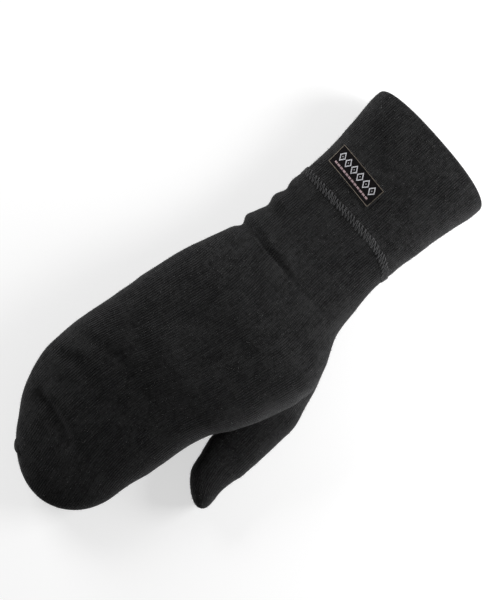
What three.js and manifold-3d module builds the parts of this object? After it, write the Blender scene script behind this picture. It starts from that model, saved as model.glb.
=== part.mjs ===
// A knitted mitten with a long cuff, filled out as if worn and lying palm down.
// Millimetres: +Y runs to the fingertips, +X to the little finger's side, +Z up,
// with the thumb on the -X side and the cloth flattened on the plane z = 0.
import * as THREE from "three";
import { mergeVertices } from "three/addons/utils/BufferGeometryUtils.js";
import Module from "manifold-3d";

const wasm = await Module();
wasm.setup();

// Hand
const handLength = 251; // from the wrist seam to the fingertip
const handWidth = 100; // across the knuckles, at the widest line
const palmDepth = 40; // from the palm on the surface to the back of the hand
const handWall = 2; // one layer of knit
const tipRound = 36; // length over which the fingertip rounds off
const crotchLength = 151; // from the wrist seam to the fork of the thumb

// Thumb
const thumbFree = 33; // from the fork to the tip of the thumb
const thumbRootLength = 90; // from the fork back to where the thumb starts
const thumbWidth = 23;
const thumbDepth = 18;
const thumbWall = 1.9;
const thumbRound = 14; // length over which the thumb's tip rounds off

// Cuff
const cuffLength = 69; // from the wrist seam to the rim
const wristWidth = 81;
const wristDepth = 30;
const mouthWidth = 92;
const mouthDepth = 34;
const cuffWall = 3; // the knit doubled, folded at the rim
const rimLead = 6; // how far the upper layer's rim lies ahead of the lower layer's
const rimSkew = 1.5; // how much further the rim reaches on the little finger's side
const seamBend = 8.5; // how far the wrist seam climbs on the thumb's side

// Trim
const bandWidth = 6; // flat overlocked seam round the wrist
const bandThick = 0.8;
const labelWidth = 37; // round the cuff
const labelHeight = 14.3; // along the cuff
const labelThick = 0.7;
const labelSetback = 11; // from the wrist seam to the label's near edge
const labelSlant = 2; // how much nearer the seam the label's inner end lies
const labelSide = 33; // where the label starts, in degrees round from the little finger's side
const nubWidth = 4.5; // end of the closing seam at the fingertip
const nubThick = 1.1;
const nubSetback = 9.5; // from the fingertip to the middle of that seam end

// Fits
const gap = 0.3; // between pieces that touch
const sink = 3; // how much lower the underside would hang if the surface didn't flatten it
const bodyRoundness = 2.35; // exponent of the sections' rounded outline
const thumbRoundness = 2.2;
const tipSharpness = 0.8; // how soon the depth gives way to the rounding of a tip
const quarterTurn = Math.PI / 2;
const fullTurn = 2 * Math.PI;

// Sections of the hand and cuff, from the rim to the fingertip. Each row's columns:
// along: its place, a share of the cuff's length before the seam and of the hand's after it
// ruler: 0 where the wrist's width counts, 1 where the hand's or the mouth's does
// thumb, little: the two edges, shares of that width from the middle line
// top: height of the upper side, a share of the depth
// edge: height of the widest line, a share of the top
// lift: height of the underside above the surface, a share of the depth
const bodyRows = [
  { along: -1, ruler: 1, thumb: -0.484, little: 0.516, top: 1, edge: 0.5, lift: 0 },
  { along: -0.8, ruler: 1, thumb: -0.484, little: 0.516, top: 1, edge: 0.5, lift: 0 },
  { along: -0.6, ruler: 0.66, thumb: -0.482, little: 0.518, top: 1, edge: 0.5, lift: 0 },
  { along: -0.4, ruler: 0.36, thumb: -0.48, little: 0.52, top: 1, edge: 0.5, lift: 0 },
  { along: -0.17, ruler: 0.12, thumb: -0.48, little: 0.52, top: 1, edge: 0.5, lift: 0.03 },
  { along: 0, ruler: 0, thumb: -0.471, little: 0.529, top: 1, edge: 0.51, lift: 0.06 },
  { along: 0.07, ruler: 0, thumb: -0.462, little: 0.536, top: 1.01, edge: 0.51, lift: 0.04 },
  { along: 0.165, ruler: 0.3, thumb: -0.465, little: 0.522, top: 0.98, edge: 0.52, lift: 0.01 },
  { along: 0.215, ruler: 0.5, thumb: -0.48, little: 0.513, top: 0.965, edge: 0.52, lift: 0 },
  { along: 0.285, ruler: 0.8, thumb: -0.548, little: 0.538, top: 0.975, edge: 0.525, lift: 0 },
  { along: 0.335, ruler: 1, thumb: -0.568, little: 0.557, top: 0.98, edge: 0.52, lift: 0 },
  { along: 0.38, ruler: 1, thumb: -0.557, little: 0.584, top: 1, edge: 0.515, lift: 0 },
  { along: 0.43, ruler: 1, thumb: -0.53, little: 0.604, top: 1, edge: 0.515, lift: 0 },
  { along: 0.49, ruler: 1, thumb: -0.495, little: 0.622, top: 1, edge: 0.51, lift: 0 },
  { along: 0.55, ruler: 1, thumb: -0.435, little: 0.64, top: 0.98, edge: 0.5, lift: 0 },
  { along: 0.6, ruler: 1, thumb: -0.365, little: 0.658, top: 0.925, edge: 0.49, lift: 0 },
  { along: 0.665, ruler: 1, thumb: -0.322, little: 0.675, top: 0.84, edge: 0.49, lift: 0 },
  { along: 0.76, ruler: 1, thumb: -0.294, little: 0.67, top: 0.725, edge: 0.48, lift: 0 },
  { along: 0.833, ruler: 1, thumb: -0.259, little: 0.607, top: 0.65, edge: 0.48, lift: 0 },
  { along: 0.905, ruler: 1, thumb: -0.25, little: 0.513, top: 0.59, edge: 0.48, lift: 0 },
  { along: 1, ruler: 1, thumb: -0.25, little: 0.45, top: 0.54, edge: 0.48, lift: 0 },
];
const tipPlace = 0.08; // where the fingertip's point lies, a share of the hand's width

// Sections of the thumb. Each row's columns:
// along: its place, a share of the root's length before the fork and of the free length after it
// centre: its middle line, a share of the hand's width
// half: its half width, a share of the thumb's width
// top: height of its upper side, a share of the thumb's depth
const thumbRows = [
  { along: -1, centre: -0.26, half: 0.65, top: 0.8 },
  { along: -0.75, centre: -0.4, half: 0.75, top: 0.92 },
  { along: -0.61, centre: -0.455, half: 0.765, top: 1 },
  { along: -0.48, centre: -0.5, half: 0.755, top: 1.03 },
  { along: -0.35, centre: -0.513, half: 0.725, top: 1.05 },
  { along: -0.17, centre: -0.525, half: 0.685, top: 1.04 },
  { along: 0, centre: -0.533, half: 0.65, top: 1 },
  { along: 0.3, centre: -0.541, half: 0.545, top: 0.97 },
  { along: 0.6, centre: -0.556, half: 0.49, top: 0.93 },
  { along: 1, centre: -0.6, half: 0.46, top: 0.86 },
];

// Folds across the hand and wrist. Each row's columns:
// along: its place, a share of the hand's length
// from, to: its ends in degrees round the section, 0 at the little finger's edge and 90 on top
// width, depth: of the groove, shares of the palm's depth
// roll: height of the cloth that rolls up on its cuff side, a share of the palm's depth
const foldRows = [
  { along: 0.068, from: -50, to: 62, width: 0.11, depth: 0.047, roll: 0.01 },
  { along: 0.125, from: -50, to: 70, width: 0.11, depth: 0.047, roll: 0.013 },
  { along: 0.202, from: -45, to: 104, width: 0.095, depth: 0.072, roll: 0.038 },
  { along: 0.641, from: 30, to: 100, width: 0.2, depth: 0.024, roll: 0.009 },
  { along: 0.723, from: 12, to: 78, width: 0.19, depth: 0.027, roll: 0.009 },
  { along: 0.838, from: 22, to: 98, width: 0.145, depth: 0.032, roll: 0.012 },
];

// A table as a smooth curve through its rows, one value for each column
function throughRows(rows) {
  const columns = Object.keys(rows[0]).filter((column) => column !== "along");
  const places = rows.map((row) => row.along);
  const values = rows.flatMap((row) => columns.map((column) => row[column]));
  const curve = new THREE.CubicInterpolant(places, values, columns.length);
  return (along) => {
    const found = curve.evaluate(THREE.MathUtils.clamp(along, places[0], places.at(-1)));
    return Object.fromEntries(columns.map((column, i) => [column, found[i]]));
  };
}

const bodyAt = throughRows(bodyRows);
const thumbAt = throughRows(thumbRows);

// A cosine or sine drawn out towards its corners, for a section between round and square
function drawnOut(value, roundness) {
  return Math.sign(value) * Math.abs(value) ** (2 / roundness);
}

// Share of a section's size that is left in the rounding of a tip: 1 before it, 0 at its end
function rounding(y, tip, length) {
  const past = THREE.MathUtils.clamp((y - (tip - length)) / length, 0, 1);
  return Math.sqrt(1 - past * past);
}

// How far the folds push the cloth in, at y and at an angle round the section
function foldPush(y, angle) {
  let push = 0;
  for (const fold of foldRows) {
    const width = fold.width * palmDepth;
    const away = (y - fold.along * handLength) / width;
    const degrees = THREE.MathUtils.radToDeg(angle);
    const within = (degrees - fold.from) / (fold.to - fold.from);
    if (within <= 0 || within >= 1) continue;
    const strength = Math.sin(Math.PI * within) ** 0.6 * palmDepth;
    push += strength * fold.depth * Math.exp(-away * away);
    push -= strength * fold.roll * Math.exp(-((away + 1.5) ** 2));
  }
  return push;
}

// A point of the hand's or cuff's outer side, inset into the cloth: y is 0 at the wrist
// seam, and the angle turns from the little finger's edge over the top
function bodyPoint(y, angle, inset) {
  const row = bodyAt(y < 0 ? y / cuffLength : y / handLength);
  const mainWidth = y < 0 ? mouthWidth : handWidth;
  const mainDepth = y < 0 ? mouthDepth : palmDepth;
  const width = THREE.MathUtils.lerp(wristWidth, mainWidth, row.ruler);
  const depth = THREE.MathUtils.lerp(wristDepth, mainDepth, row.ruler);
  const middle = ((row.thumb + row.little) / 2) * width;
  const half = ((row.little - row.thumb) / 2) * width - inset;
  const top = row.top * depth;
  const edge = row.edge * top;
  const across = drawnOut(Math.cos(angle), bodyRoundness);
  const up = drawnOut(Math.sin(angle), bodyRoundness);
  const reach = up > 0 ? top - edge - inset : edge + sink - inset;
  const turned = angle > Math.PI ? angle - fullTurn : angle;
  const push = foldPush(y, turned);
  let x = middle + half * across - push * Math.cos(angle);
  let z = edge + reach * up - push * Math.sin(angle);
  z = Math.max(z, Math.max(0, row.lift) * depth + inset);
  const round = rounding(y, handLength - inset, tipRound - inset);
  const tip = tipPlace * handWidth;
  x = tip + (x - tip) * round;
  z = edge + (z - edge) * round ** tipSharpness;
  return new THREE.Vector3(x, y, z);
}

// A point of the thumb's outer side, inset into the cloth
function thumbPoint(y, angle, inset) {
  const past = y - crotchLength;
  const row = thumbAt(past < 0 ? past / thumbRootLength : past / thumbFree);
  const top = row.top * thumbDepth;
  const edge = top / 2;
  const across = drawnOut(Math.cos(angle), thumbRoundness);
  const up = drawnOut(Math.sin(angle), thumbRoundness);
  const reach = up > 0 ? top - edge - inset : edge + sink - inset;
  const round = rounding(y, crotchLength + thumbFree - inset, thumbRound - inset);
  const x = row.centre * handWidth + (row.half * thumbWidth - inset) * across * round;
  const z = Math.max(edge + reach * up, inset);
  return new THREE.Vector3(x, y, edge + (z - edge) * round ** tipSharpness);
}

// The wrist seam's own line, which climbs towards the hand on the thumb's side
function seamLine(angle) {
  return seamBend * Math.max(0, -drawnOut(Math.cos(angle), bodyRoundness)) ** 4;
}

// The rim's line: the lower layer lies back, and one side reaches further
function rimLine(angle) {
  const up = Math.max(0, drawnOut(Math.sin(angle), bodyRoundness));
  const across = drawnOut(Math.cos(angle), bodyRoundness);
  return -cuffLength + rimLead * (1 - up) + rimSkew * ((1 - across) / 2) * (1 - up);
}

// Angles round a section, evenly spread
function anglesRound(count) {
  return Array.from({ length: count }, (_, i) => (i / count) * fullTurn);
}

// Places along a piece: a list of stretches, each with its end and its number of steps
function places(start, stretches) {
  const list = [start];
  for (const stretch of stretches) {
    const from = list.at(-1);
    for (let i = 1; i <= stretch.steps; i++) {
      list.push(from + ((stretch.end - from) * i) / stretch.steps);
    }
  }
  return list;
}

// Places that close up towards a tip, as the sines of even steps of a quarter turn
function tipPlaces(tip, length, steps) {
  const turn = (i) => Math.sin((quarterTurn * i) / steps);
  return Array.from({ length: steps - 1 }, (_, i) => tip - length + length * turn(i + 1));
}

// Closed surface over a list of rings, where a ring of one point closes an end.
// With "joined" the last ring meets the first.
function overRings(rings, joined = false) {
  const points = [];
  const starts = rings.map((ring) => {
    const start = points.length;
    points.push(...ring);
    return start;
  });
  const faces = [];
  const pairs = joined ? rings.length : rings.length - 1;
  for (let i = 0; i < pairs; i++) {
    const j = (i + 1) % rings.length;
    const count = Math.max(rings[i].length, rings[j].length);
    for (let k = 0; k < count; k++) {
      const next = (k + 1) % count;
      const a = starts[i] + (rings[i].length > 1 ? k : 0);
      const b = starts[i] + (rings[i].length > 1 ? next : 0);
      const c = starts[j] + (rings[j].length > 1 ? next : 0);
      const d = starts[j] + (rings[j].length > 1 ? k : 0);
      if (a !== b) faces.push(a, b, c);
      if (c !== d) faces.push(a, c, d);
    }
  }
  const geometry = new THREE.BufferGeometry().setFromPoints(points);
  geometry.setIndex(faces);
  return facingOut(geometry);
}

// Turns a closed surface so that its faces point outwards
function facingOut(geometry) {
  const index = geometry.index;
  const corner = new THREE.Vector3();
  const corners = [0, 1, 2].map(() => new THREE.Vector3());
  let volume = 0;
  for (let i = 0; i < index.count; i += 3) {
    corners.forEach((point, k) => {
      point.fromBufferAttribute(geometry.attributes.position, index.getX(i + k));
    });
    volume += corner.crossVectors(corners[0], corners[1]).dot(corners[2]);
  }
  if (volume < 0) {
    for (let i = 0; i < index.count; i += 3) {
      const kept = index.getX(i);
      index.setX(i, index.getX(i + 1));
      index.setX(i + 1, kept);
    }
  }
  return geometry;
}

function solidOf(geometry) {
  const bare = mergeVertices(geometry, 1e-4);
  const vertProperties = new Float32Array(bare.attributes.position.array);
  const triVerts = new Uint32Array(bare.index.array);
  return new wasm.Manifold(new wasm.Mesh({ numProp: 3, vertProperties, triVerts }));
}

function geometryOf(solid) {
  const mesh = solid.getMesh();
  const geometry = new THREE.BufferGeometry();
  const points = new THREE.BufferAttribute(new Float32Array(mesh.vertProperties), 3);
  geometry.setAttribute("position", points);
  geometry.setIndex(new THREE.BufferAttribute(new Uint32Array(mesh.triVerts), 1));
  return geometry;
}

function fabric(colour, roughness = 0.95) {
  return new THREE.MeshStandardMaterial({ color: colour, roughness, metalness: 0 });
}

function named(name, geometry, material) {
  const mesh = new THREE.Mesh(geometry, material);
  mesh.name = name;
  return mesh;
}

// Outer places of the hand, close together over the wrist's folds and the fingertip's rounding
const wristFolds = 0.25 * handLength;
const handPlaces = places(0, [
  { end: wristFolds, steps: 18 },
  { end: handLength - tipRound, steps: 17 },
]);
const handRound = 40;

// A ring of the hand, whose wrist end follows the seam's bent line
function handRing(y, inset, start) {
  return anglesRound(handRound).map((angle) => {
    const bent = (seamLine(angle) + start) * (1 - y / handLength);
    return bodyPoint(y + bent, angle, inset);
  });
}

// The hand's rings from the fingertip back to the wrist, at one depth in the cloth
function handRings(inset, along, tipSteps, start) {
  const tip = bodyPoint(handLength - inset, 0, inset);
  const round = tipPlaces(handLength - inset, tipRound - inset, tipSteps).reverse();
  const rings = [...round, ...along.toReversed()].map((y) => handRing(y, inset, start));
  return [[tip], ...rings];
}

// The hand's outer form with its wrist end closed, larger all round by the given gap
function handForm(room) {
  const rings = handRings(-room, handPlaces, 10, 0);
  const middle = bodyPoint(0, quarterTurn, palmDepth / 2);
  return overRings([...rings, [middle]]);
}

const thumbEnd = crotchLength + thumbFree;
const thumbStart = crotchLength - thumbRootLength;

// The thumb's whole form at one depth in the cloth, both ends closed
function thumbForm(inset, around, steps, tipSteps) {
  const last = thumbEnd - thumbRound;
  const along = places(thumbStart + inset, [{ end: last, steps }]);
  const round = tipPlaces(thumbEnd - inset, thumbRound - inset, tipSteps);
  const rings = [...along, ...round].map((y) =>
    anglesRound(around).map((angle) => thumbPoint(y, angle, inset)),
  );
  const root = thumbPoint(thumbStart + inset, quarterTurn, thumbDepth / 2);
  const tip = thumbPoint(thumbEnd - inset, 0, inset);
  return overRings([[root], ...rings, [tip]]);
}

// Knitted hand: one layer of cloth, open at the wrist and into the thumb
function hand() {
  const outer = handRings(0, handPlaces, 10, gap / 2);
  const innerPlaces = places(0, [
    { end: wristFolds, steps: 12 },
    { end: handLength - tipRound, steps: 8 },
  ]);
  const inner = handRings(handWall, innerPlaces, 5, gap / 2).reverse();
  const shell = solidOf(overRings([...outer, ...inner]));
  const way = solidOf(thumbForm(thumbWall + gap, 20, 16, 4));
  return named("hand", geometryOf(shell.subtract(way)), fabric(0x262626));
}

// Knitted thumb: one layer of cloth, open at its root where it lies against the hand
function thumb() {
  const outer = solidOf(thumbForm(0, 24, 20, 7));
  const hollow = solidOf(thumbForm(thumbWall, 20, 16, 5));
  const cleared = outer.subtract(hollow).subtract(solidOf(handForm(gap)));
  return named("thumb", geometryOf(cleared), fabric(0x242424));
}

// Cuff: the knit doubled, with a rounded fold at the rim, open at both ends
function cuff() {
  const ring = (share, inset, shift) =>
    anglesRound(handRound).map((angle) => {
      const seam = seamLine(angle) - gap / 2;
      const rim = rimLine(angle) + cuffWall / 2;
      return bodyPoint(seam + (rim - seam) * share - shift, angle, inset);
    });
  const shares = places(0, [{ end: 1, steps: 12 }]);
  const outer = shares.map((share) => ring(share, 0, 0));
  const fold = [1, 2, 3].map((step) => {
    const turn = (Math.PI * step) / 4;
    const inset = (cuffWall / 2) * (1 - Math.cos(turn));
    return ring(1, inset, (cuffWall / 2) * Math.sin(turn));
  });
  const inner = places(1, [{ end: 0, steps: 8 }]).map((share) => ring(share, cuffWall, 0));
  return named("cuff", overRings([...outer, ...fold, ...inner], true), fabric(0x272727));
}

// Flat band of overlocked stitching over the joint of hand and cuff
function wristSeam() {
  const profile = [
    { across: -1, out: 0 },
    { across: -0.75, out: 1 },
    { across: 0, out: 1.15 },
    { across: 0.75, out: 1 },
    { across: 1, out: 0 },
  ];
  const rings = profile.map(({ across, out }) =>
    anglesRound(handRound).map((angle) => {
      const y = seamLine(angle) + (across * bandWidth) / 2;
      return bodyPoint(y, angle, -gap - out * bandThick);
    }),
  );
  const under = anglesRound(handRound).map((angle) => bodyPoint(seamLine(angle), angle, -gap));
  return named("wrist_seam", overRings([...rings, under], true), fabric(0x2e2e2e));
}

// Angles that step evenly along the cuff's surface at y, from a first angle for a length
function anglesAlong(y, first, length, steps) {
  const stride = 0.002;
  const list = [first];
  let angle = first;
  let walked = 0;
  let here = bodyPoint(y, angle, 0);
  while (list.length <= steps && angle < first + fullTurn) {
    angle += stride;
    const next = bodyPoint(y, angle, 0);
    walked += next.distanceTo(here);
    here = next;
    if (walked >= (length * list.length) / steps) list.push(angle);
  }
  return list;
}

// A flat patch laid on the cloth: a strip of the given height and thickness across the
// angles, whose far end lies further along by the slant
function patch(angles, middle, height, thick, slant) {
  const corners = [
    { along: -0.5, out: 0 },
    { along: 0.5, out: 0 },
    { along: 0.5, out: 1 },
    { along: -0.5, out: 1 },
  ];
  const rings = angles.map((angle, i) => {
    const y = middle + slant * (i / (angles.length - 1) - 0.5);
    return corners.map(({ along, out }) =>
      bodyPoint(y + along * height, angle, -gap - out * thick),
    );
  });
  const centre = (ring) => [ring[0].clone().lerp(ring[2], 0.5)];
  return overRings([centre(rings[0]), ...rings, centre(rings.at(-1))]);
}

// Woven patch sewn on the back of the cuff
function label() {
  const middle = -labelSetback - labelHeight / 2;
  const first = THREE.MathUtils.degToRad(labelSide);
  const angles = anglesAlong(middle, first, labelWidth, 14);
  const shape = patch(angles, middle, labelHeight, labelThick, labelSlant);
  return named("label", shape, fabric(0x141414, 0.7));
}

// End of the closing seam, wrapped over the edge of the fingertip
function tipSeam() {
  const from = THREE.MathUtils.degToRad(-40);
  const to = THREE.MathUtils.degToRad(48);
  const steps = 8;
  const angles = Array.from({ length: steps + 1 }, (_, i) => from + ((to - from) * i) / steps);
  const shape = patch(angles, handLength - nubSetback, nubWidth, nubThick, 0);
  return named("tip_seam", shape, fabric(0x232323));
}

const mitten = new THREE.Group();
mitten.add(hand(), thumb(), cuff(), wristSeam(), label(), tipSeam());

// The origin lies under the middle of the whole mitten, on the surface that it rests on
const whole = new THREE.Box3().setFromObject(mitten);
const centre = whole.getCenter(new THREE.Vector3());
mitten.position.set(-centre.x, -centre.y, -whole.min.z);

export default mitten;
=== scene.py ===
# A knitted mitten lying palm down: cloth, trim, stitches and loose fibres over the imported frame.
# Shapes are worked out in millimetres, with y = 0 at the wrist seam, then placed in metres.
import math
import bpy
import numpy as np
from mathutils import Matrix, Vector


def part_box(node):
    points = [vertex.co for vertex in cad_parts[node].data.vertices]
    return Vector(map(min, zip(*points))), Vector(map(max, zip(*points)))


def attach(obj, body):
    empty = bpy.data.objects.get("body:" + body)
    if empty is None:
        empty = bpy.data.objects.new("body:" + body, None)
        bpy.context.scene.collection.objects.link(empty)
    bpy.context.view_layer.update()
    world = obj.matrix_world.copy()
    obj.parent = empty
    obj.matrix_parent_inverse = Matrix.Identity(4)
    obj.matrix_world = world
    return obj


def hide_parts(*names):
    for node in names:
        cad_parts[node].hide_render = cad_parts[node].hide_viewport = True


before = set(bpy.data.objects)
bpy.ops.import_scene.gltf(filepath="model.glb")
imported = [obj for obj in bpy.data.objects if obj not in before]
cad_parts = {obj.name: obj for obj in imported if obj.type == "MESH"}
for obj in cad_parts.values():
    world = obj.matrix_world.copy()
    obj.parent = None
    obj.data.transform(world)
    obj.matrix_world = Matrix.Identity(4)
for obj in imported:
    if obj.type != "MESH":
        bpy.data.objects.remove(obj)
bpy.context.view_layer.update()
print("frame loaded")

# The sizes that the solids use, in mm
body = {
    "handLength": 251, "handWidth": 100, "palmDepth": 40, "tipRound": 36,
    "cuffLength": 69, "wristWidth": 81, "wristDepth": 30, "mouthWidth": 92, "mouthDepth": 34,
    "rimLead": 6, "rimSkew": 1.5, "rimTurn": 0.7, "seamBend": 8.5, "gap": 0.3, "sink": 3,
    "roundness": 2.35, "tipSharpness": 0.8, "tipPlace": 0.08,
}
thumbSize = {
    "crotchLength": 151, "free": 33, "rootLength": 90, "width": 23, "depth": 18,
    "round": 14, "roundness": 2.2, "tipSharpness": 0.5,
    "lean": 3.0, "leanFrom": 95, "leanGrows": 30, "leanTo": 180, "leanFades": 22,
}
thumbStart = thumbSize["crotchLength"] - thumbSize["rootLength"]
thumbEnd = thumbSize["crotchLength"] + thumbSize["free"]

# along, ruler, thumb, little, top, edge, lift: the sections of hand and cuff
bodyRows = np.array([
    [-1, 1, -0.484, 0.516, 1, 0.5, 0],
    [-0.8, 1, -0.484, 0.516, 1, 0.5, 0],
    [-0.6, 0.66, -0.482, 0.518, 1, 0.5, 0],
    [-0.4, 0.36, -0.48, 0.52, 1, 0.5, 0],
    [-0.17, 0.12, -0.48, 0.52, 1, 0.5, 0.03],
    [0, 0, -0.471, 0.529, 1, 0.51, 0.06],
    [0.07, 0, -0.462, 0.536, 1.01, 0.51, 0.04],
    [0.165, 0.3, -0.465, 0.522, 0.98, 0.52, 0.01],
    [0.215, 0.5, -0.48, 0.513, 0.965, 0.52, 0],
    [0.285, 0.8, -0.548, 0.538, 0.975, 0.525, 0],
    [0.335, 1, -0.568, 0.557, 0.98, 0.52, 0],
    [0.38, 1, -0.557, 0.584, 1, 0.515, 0],
    [0.43, 1, -0.53, 0.604, 1, 0.515, 0],
    [0.49, 1, -0.495, 0.622, 1, 0.51, 0],
    [0.55, 1, -0.435, 0.64, 0.98, 0.5, 0],
    [0.6, 1, -0.365, 0.658, 0.925, 0.49, 0],
    [0.665, 1, -0.322, 0.675, 0.84, 0.49, 0],
    [0.76, 1, -0.294, 0.67, 0.725, 0.48, 0],
    [0.833, 1, -0.259, 0.607, 0.65, 0.48, 0],
    [0.905, 1, -0.25, 0.513, 0.59, 0.48, 0],
    [1, 1, -0.25, 0.45, 0.54, 0.48, 0],
])

# along, centre, half, top: the sections of the thumb
thumbRows = np.array([
    [-1, -0.26, 0.65, 0.8],
    [-0.75, -0.4, 0.75, 0.92],
    [-0.61, -0.455, 0.765, 1],
    [-0.48, -0.5, 0.755, 1.03],
    [-0.35, -0.513, 0.725, 1.05],
    [-0.17, -0.525, 0.685, 1.04],
    [0, -0.533, 0.65, 1],
    [0.3, -0.541, 0.545, 1],
    [0.6, -0.558, 0.49, 0.99],
    [1, -0.628, 0.45, 0.97],
])

# along, from, to, width, depth, roll: the broad folds, lower on top than the solids'
foldRows = np.array([
    [0.068, -50, 54, 0.11, 0.047, 0.01],
    [0.125, -50, 58, 0.11, 0.047, 0.013],
    [0.202, -48, 52, 0.095, 0.06, 0.032],
    [0.641, 30, 100, 0.2, 0.012, 0.004],
    [0.723, 12, 78, 0.19, 0.014, 0.004],
    [0.838, 22, 98, 0.145, 0.016, 0.006],
])


def throughRows(rows, along):
    # Piecewise cubic through a table's rows; the slope at a row is the mean of the slopes beside it
    places, values = rows[:, 0], rows[:, 1:]
    slope = np.diff(values, axis=0) / np.diff(places)[:, None]
    tangent = np.vstack([slope[:1], (slope[:-1] + slope[1:]) / 2, slope[-1:]])
    where = np.clip(along, places[0], places[-1])
    i = np.clip(np.searchsorted(places, where, side="right") - 1, 0, len(places) - 2)
    step = (places[i + 1] - places[i])[..., None]
    p = ((where - places[i])[..., None]) / step
    value = (2 * p**3 - 3 * p**2 + 1) * values[i] + (3 * p**2 - 2 * p**3) * values[i + 1]
    value += (p**3 - 2 * p**2 + p) * step * tangent[i] + (p**3 - p**2) * step * tangent[i + 1]
    return np.moveaxis(value, -1, 0)


def drawnOut(value, roundness):
    # |value| to the power 2 / roundness, with its sign kept
    return np.sign(value) * np.abs(value) ** (2 / roundness)


def rounding(y, tip, length):
    # Quarter circle: 1 up to tip - length, 0 at the tip
    past = np.clip((y - (tip - length)) / length, 0, 1)
    return np.sqrt(1 - past**2)


def foldPush(y, angle):
    # A groove exp(-away^2) with a roll exp(-(away + 1.5)^2) beside it, faded to both ends
    push = np.zeros(y.shape)
    degrees = np.degrees(np.where(angle > math.pi, angle - 2 * math.pi, angle))
    for along, start, end, width, depth, roll in foldRows:
        away = (y - along * body["handLength"]) / (width * body["palmDepth"])
        within = np.clip((degrees - start) / (end - start), 0, 1)
        strength = np.sin(math.pi * within).clip(0) ** 0.6 * body["palmDepth"]
        push += strength * (depth * np.exp(-away**2) - roll * np.exp(-(away + 1.5) ** 2))
    return push


def bodySection(y):
    # The section at y: middle, half width, top, height of the widest line, underside's height
    share = np.where(y < 0, y / body["cuffLength"], y / body["handLength"])
    ruler, thumb, little, top, edge, lift = throughRows(bodyRows, share)
    mainWidth = np.where(y < 0, body["mouthWidth"], body["handWidth"])
    mainDepth = np.where(y < 0, body["mouthDepth"], body["palmDepth"])
    width = body["wristWidth"] + (mainWidth - body["wristWidth"]) * ruler
    depth = body["wristDepth"] + (mainDepth - body["wristDepth"]) * ruler
    top = top * depth
    middle, half = (thumb + little) / 2 * width, (little - thumb) / 2 * width
    return middle, half, top, edge * top, np.maximum(0, lift) * depth


def drawnEllipse(angle, roundness, top, edge, inset):
    # A drawn out ellipse: across from -1 to 1, up from -1 to 1, and the height, which reaches from
    # edge to top above and sinks below the floor underneath
    across, up = drawnOut(np.cos(angle), roundness), drawnOut(np.sin(angle), roundness)
    reach = np.where(up > 0, top - edge - inset, edge + body["sink"] - inset)
    return across, up, edge + reach * up


def bodyPoint(y, angle, inset=0.0):
    # The ellipse at each y, flattened below, pushed in at the folds and drawn to a point at the
    # fingertip by the rounding; inset moves it into the cloth
    y, angle = np.broadcast_arrays(y, angle)
    middle, half, top, edge, floor = bodySection(y)
    across, _, z = drawnEllipse(angle, body["roundness"], top, edge, inset)
    push = foldPush(y, angle)
    x = middle + (half - inset) * across - push * np.cos(angle)
    z = np.maximum(z - push * np.sin(angle), floor + inset)
    taper = rounding(y, body["handLength"] - inset, body["tipRound"] - inset)
    tip = body["tipPlace"] * body["handWidth"]
    z = edge + (z - edge) * taper ** body["tipSharpness"]
    return np.stack([tip + (x - tip) * taper, y, z], axis=-1)


def thumbSection(y):
    # The section at y: middle, half width and top, from the thumb's rows
    past = y - thumbSize["crotchLength"]
    share = np.where(past < 0, past / thumbSize["rootLength"], past / thumbSize["free"])
    centre, half, top = throughRows(thumbRows, share)
    return centre * body["handWidth"], half * thumbSize["width"], top * thumbSize["depth"]


def thumbPoint(y, angle, inset=0.0):
    # As the hand's, with its own rows and roundness; its ridge leans towards the fingers by the
    # square of the height
    y, angle = np.broadcast_arrays(y, angle)
    centre, half, top = thumbSection(y)
    edge = top / 2
    across, up, z = drawnEllipse(angle, thumbSize["roundness"], top, edge, inset)
    taper = rounding(y, thumbEnd - inset, thumbSize["round"] - inset)
    lean = thumbSize["lean"] * np.clip((y - thumbSize["leanFrom"]) / thumbSize["leanGrows"], 0, 1)
    lean = lean * np.clip((thumbSize["leanTo"] - y) / thumbSize["leanFades"], 0, 1)
    x = centre + ((half - inset) * across + lean * np.maximum(up, 0) ** 2) * taper
    z = edge + (np.maximum(z, inset) - edge) * taper ** thumbSize["tipSharpness"]
    return np.stack([x, y, z], axis=-1)


def fromSection(points, middle, half, edge, above, below, roundness):
    # Distance out of a drawn out ellipse, along the ray from its middle; negative inside
    dx, dz = points[..., 0] - middle, points[..., 2] - edge
    reach = np.where(dz > 0, above, below)
    level = (np.abs(dx / half) ** roundness + np.abs(dz / reach) ** roundness) ** (1 / roundness)
    level = np.maximum(level, 1e-3)
    return np.hypot(dx, dz) * (1 - 1 / level)


def outOfBody(points):
    # Distance out of the section of hand or cuff at each point's y
    middle, half, top, edge, _ = bodySection(points[..., 1])
    taper = np.maximum(rounding(points[..., 1], body["handLength"], body["tipRound"]), 0.02)
    return fromSection(points, middle, half * taper, edge, (top - edge) * taper,
                       (edge + body["sink"]) * taper, body["roundness"])


def outOfThumb(points):
    # The same for the thumb, with the distance behind its root, and 99 mm beyond its tip
    y = points[..., 1]
    centre, half, top = thumbSection(y)
    taper = np.maximum(rounding(y, thumbEnd, thumbSize["round"]), 0.02)
    away = fromSection(points, centre, half * taper, top / 2, top / 2 * taper,
                       (top / 2 + body["sink"]) * taper, thumbSize["roundness"])
    behind = np.hypot(np.maximum(away, 0), thumbStart - y)
    return np.where(y < thumbStart, behind, np.where(y > thumbEnd, 99, away))


def seamLine(angle):
    # The wrist seam climbs by the fourth power of the reach towards the thumb's side
    reach = np.maximum(0, -drawnOut(np.cos(angle), body["roundness"]))
    return body["seamBend"] * reach**4


def rimLine(angle):
    # The rim lies back underneath and on the thumb's side, and turns a little over its width
    up = np.maximum(0, drawnOut(np.sin(angle), body["roundness"]))
    across = drawnOut(np.cos(angle), body["roundness"])
    back = (body["rimLead"] + body["rimSkew"] * (1 - across) / 2) * (1 - up)
    return -body["cuffLength"] + back - body["rimTurn"] * across


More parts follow.
